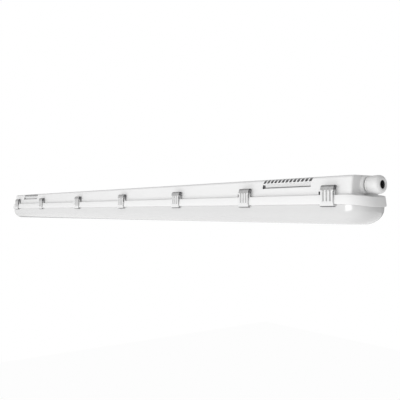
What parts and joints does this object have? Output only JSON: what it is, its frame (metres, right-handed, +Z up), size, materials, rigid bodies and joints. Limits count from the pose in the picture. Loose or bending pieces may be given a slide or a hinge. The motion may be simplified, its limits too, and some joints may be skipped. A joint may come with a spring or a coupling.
{
  "type": "vapor tight light fixture",
  "caption": "Long sealed ceiling light with moulded body, opal cover held by hinged steel clips, cable gland, tray, boards and driver inside.",
  "frame": {"origin": "centre of the body's flat ceiling side face", "axes": "+X along the fixture towards the cable gland, +Z up towards the ceiling, -Y towards the side seen in the picture"},
  "size_m": [1.5058, 0.0896, 0.076],
  "materials": {
    "housing_polycarbonate": "light grey injection moulded polycarbonate, satin",
    "opal_diffuser": "opal polycarbonate, smooth",
    "stainless_sheet": "stainless spring sheet, satin",
    "poured_gasket": "poured polyurethane foam",
    "white_enamelled_steel": "white powder coat, semi matte",
    "white_board": "white solder mask",
    "driver_case": "moulded case, fine texture",
    "terminal_plastic": "grey polyamide",
    "terminal_lever": "orange lever",
    "zinc_plated": "zinc plated steel",
    "grey_nylon": "light grey polyamide, fine texture",
    "black_rubber": "black elastomer",
    "lead_brown": "insulation",
    "lead_blue": "insulation",
    "lead_green_yellow": "insulation, green and yellow",
    "lead_red": "insulation",
    "lead_black": "insulation"
  },
  "bodies": {
    "fixture": {"board_link_1": "grey_nylon", "board_link_2": "grey_nylon", "diffuser": "opal_diffuser", "driver_screw_1": "zinc_plated", "driver_screw_2": "zinc_plated", "earth_screw": "zinc_plated", "entry_plug": "grey_nylon", "gasket": "poured_gasket", "gear_tray": "white_enamelled_steel", "gland_body": "grey_nylon", "gland_claws": "grey_nylon", "gland_locknut": "grey_nylon", "gland_ring": "black_rubber", "gland_seal": "black_rubber", "housing": "housing_polycarbonate", "lead_earth": "lead_green_yellow", "lead_live": "lead_brown", "lead_minus": "lead_black", "lead_neutral": "lead_blue", "lead_plus": "lead_red", "led_board_1": "white_board", "led_board_2": "white_board", "led_board_3": "white_board", "led_driver": "driver_case", "plug_locknut": "grey_nylon", "plug_ring": "black_rubber", "terminal_block": "terminal_plastic"},
    "clip_front_1": {"clip_front_1": "stainless_sheet"},
    "clip_front_2": {"clip_front_2": "stainless_sheet"},
    "clip_front_3": {"clip_front_3": "stainless_sheet"},
    "clip_front_4": {"clip_front_4": "stainless_sheet"},
    "clip_front_5": {"clip_front_5": "stainless_sheet"},
    "clip_front_6": {"clip_front_6": "stainless_sheet"},
    "clip_front_7": {"clip_front_7": "stainless_sheet"},
    "clip_rear_1": {"clip_rear_1": "stainless_sheet"},
    "clip_rear_2": {"clip_rear_2": "stainless_sheet"},
    "clip_rear_3": {"clip_rear_3": "stainless_sheet"},
    "clip_rear_4": {"clip_rear_4": "stainless_sheet"},
    "clip_rear_5": {"clip_rear_5": "stainless_sheet"},
    "clip_rear_6": {"clip_rear_6": "stainless_sheet"},
    "clip_rear_7": {"clip_rear_7": "stainless_sheet"},
    "tray_catch_1": {"tray_catch_1": "grey_nylon"},
    "tray_catch_2": {"tray_catch_2": "grey_nylon"},
    "tray_catch_3": {"tray_catch_3": "grey_nylon"},
    "tray_catch_4": {"tray_catch_4": "grey_nylon"},
    "terminal_lever_1": {"terminal_lever_1": "terminal_lever"},
    "terminal_lever_2": {"terminal_lever_2": "terminal_lever"},
    "terminal_lever_3": {"terminal_lever_3": "terminal_lever"},
    "gland_nut": {"gland_nut": "grey_nylon"}
  },
  "joints": [
    {"name": "clip_front_1_hinge", "type": "hinge", "parent": "fixture", "child": "clip_front_1", "pos_m": [-0.684, -0.0392, -0.019], "axis": [-1, 0, 0], "range_deg": [0, 90]},
    {"name": "clip_front_2_hinge", "type": "hinge", "parent": "fixture", "child": "clip_front_2", "pos_m": [-0.47333, -0.0392, -0.019], "axis": [-1, 0, 0], "range_deg": [0, 90]},
    {"name": "clip_front_3_hinge", "type": "hinge", "parent": "fixture", "child": "clip_front_3", "pos_m": [-0.21204, -0.0392, -0.019], "axis": [-1, 0, 0], "range_deg": [0, 90]},
    {"name": "clip_front_4_hinge", "type": "hinge", "parent": "fixture", "child": "clip_front_4", "pos_m": [0.03557, -0.0392, -0.019], "axis": [-1, 0, 0], "range_deg": [0, 90]},
    {"name": "clip_front_5_hinge", "type": "hinge", "parent": "fixture", "child": "clip_front_5", "pos_m": [0.2695, -0.0392, -0.019], "axis": [-1, 0, 0], "range_deg": [0, 90]},
    {"name": "clip_front_6_hinge", "type": "hinge", "parent": "fixture", "child": "clip_front_6", "pos_m": [0.48838, -0.0392, -0.019], "axis": [-1, 0, 0], "range_deg": [0, 90]},
    {"name": "clip_front_7_hinge", "type": "hinge", "parent": "fixture", "child": "clip_front_7", "pos_m": [0.684, -0.0392, -0.019], "axis": [-1, 0, 0], "range_deg": [0, 90]},
    {"name": "clip_rear_1_hinge", "type": "hinge", "parent": "fixture", "child": "clip_rear_1", "pos_m": [-0.684, 0.0392, -0.019], "axis": [1, 0, 0], "range_deg": [0, 90]},
    {"name": "clip_rear_2_hinge", "type": "hinge", "parent": "fixture", "child": "clip_rear_2", "pos_m": [-0.47333, 0.0392, -0.019], "axis": [1, 0, 0], "range_deg": [0, 90]},
    {"name": "clip_rear_3_hinge", "type": "hinge", "parent": "fixture", "child": "clip_rear_3", "pos_m": [-0.21204, 0.0392, -0.019], "axis": [1, 0, 0], "range_deg": [0, 90]},
    {"name": "clip_rear_4_hinge", "type": "hinge", "parent": "fixture", "child": "clip_rear_4", "pos_m": [0.03557, 0.0392, -0.019], "axis": [1, 0, 0], "range_deg": [0, 90]},
    {"name": "clip_rear_5_hinge", "type": "hinge", "parent": "fixture", "child": "clip_rear_5", "pos_m": [0.2695, 0.0392, -0.019], "axis": [1, 0, 0], "range_deg": [0, 90]},
    {"name": "clip_rear_6_hinge", "type": "hinge", "parent": "fixture", "child": "clip_rear_6", "pos_m": [0.48838, 0.0392, -0.019], "axis": [1, 0, 0], "range_deg": [0, 90]},
    {"name": "clip_rear_7_hinge", "type": "hinge", "parent": "fixture", "child": "clip_rear_7", "pos_m": [0.684, 0.0392, -0.019], "axis": [1, 0, 0], "range_deg": [0, 90]},
    {"name": "tray_catch_1_turn", "type": "hinge", "parent": "fixture", "child": "tray_catch_1", "pos_m": [-0.475, -0.022, -0.0303], "axis": [0, 0, 1], "range_deg": [0, 90]},
    {"name": "tray_catch_2_turn", "type": "hinge", "parent": "fixture", "child": "tray_catch_2", "pos_m": [-0.475, 0.022, -0.0303], "axis": [0, 0, 1], "range_deg": [0, 90]},
    {"name": "tray_catch_3_turn", "type": "hinge", "parent": "fixture", "child": "tray_catch_3", "pos_m": [0.475, -0.022, -0.0303], "axis": [0, 0, 1], "range_deg": [0, 90]},
    {"name": "tray_catch_4_turn", "type": "hinge", "parent": "fixture", "child": "tray_catch_4", "pos_m": [0.475, 0.022, -0.0303], "axis": [0, 0, 1], "range_deg": [0, 90]},
    {"name": "terminal_lever_1_lift", "type": "hinge", "parent": "fixture", "child": "terminal_lever_1", "pos_m": [0.6597, -0.0062, -0.0194], "axis": [0, 1, 0], "range_deg": [0, 85]},
    {"name": "terminal_lever_2_lift", "type": "hinge", "parent": "fixture", "child": "terminal_lever_2", "pos_m": [0.6597, 0, -0.0194], "axis": [0, 1, 0], "range_deg": [0, 85]},
    {"name": "terminal_lever_3_lift", "type": "hinge", "parent": "fixture", "child": "terminal_lever_3", "pos_m": [0.6597, 0.0062, -0.0194], "axis": [0, 1, 0], "range_deg": [0, 85]},
    {"name": "gland_nut_turn", "type": "hinge", "parent": "fixture", "child": "gland_nut", "pos_m": [0.73495, 0, -0.0152], "axis": [1, 0, 0], "range_deg": [0, 360]}
  ]
}
